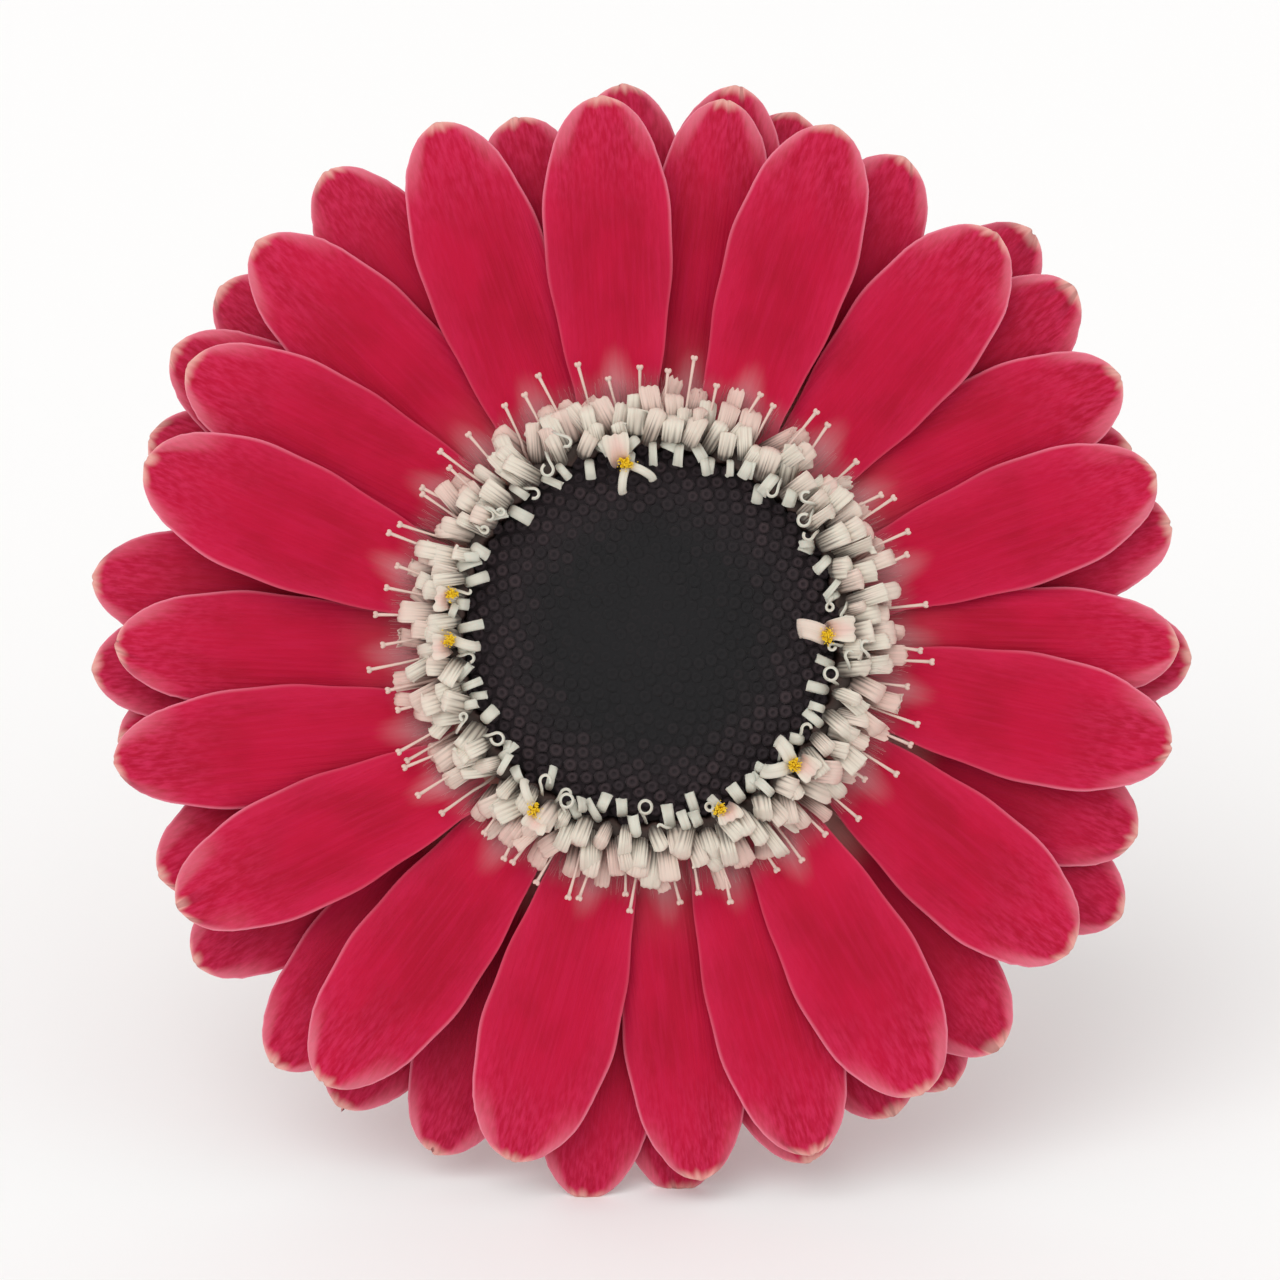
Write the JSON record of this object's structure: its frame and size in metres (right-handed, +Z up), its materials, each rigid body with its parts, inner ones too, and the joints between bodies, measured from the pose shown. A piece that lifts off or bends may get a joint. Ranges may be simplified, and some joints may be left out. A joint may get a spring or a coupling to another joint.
{
  "type": "cut gerbera",
  "caption": "Cut gerbera laid on its side: crimson layered petals, cream ring florets, near-black disc of buds and a long green stem.",
  "frame": {"origin": "middle of the whole flower's outline seen from above, on the surface that it lies on", "axes": "+Z up from the surface; the stem lies along +Y, and the head faces -Y, tilted 20 degrees upward; +X is to the right of someone facing the head's front from -Y"},
  "size_m": [0.0997, 0.3992, 0.0945],
  "materials": {
    "petal": "velvety matt petal tissue, paler at the tips",
    "floret": "matt cream to dusty pink petal tissue",
    "bud": "matt near-black buds",
    "green": "matt, finely hairy green stem and bracts"
  },
  "bodies": {
    "root": {"ray_florets": "petal", "ring_florets": "floret", "disc_buds": "bud", "stem_and_involucre": "green"}
  },
  "joints": []
}
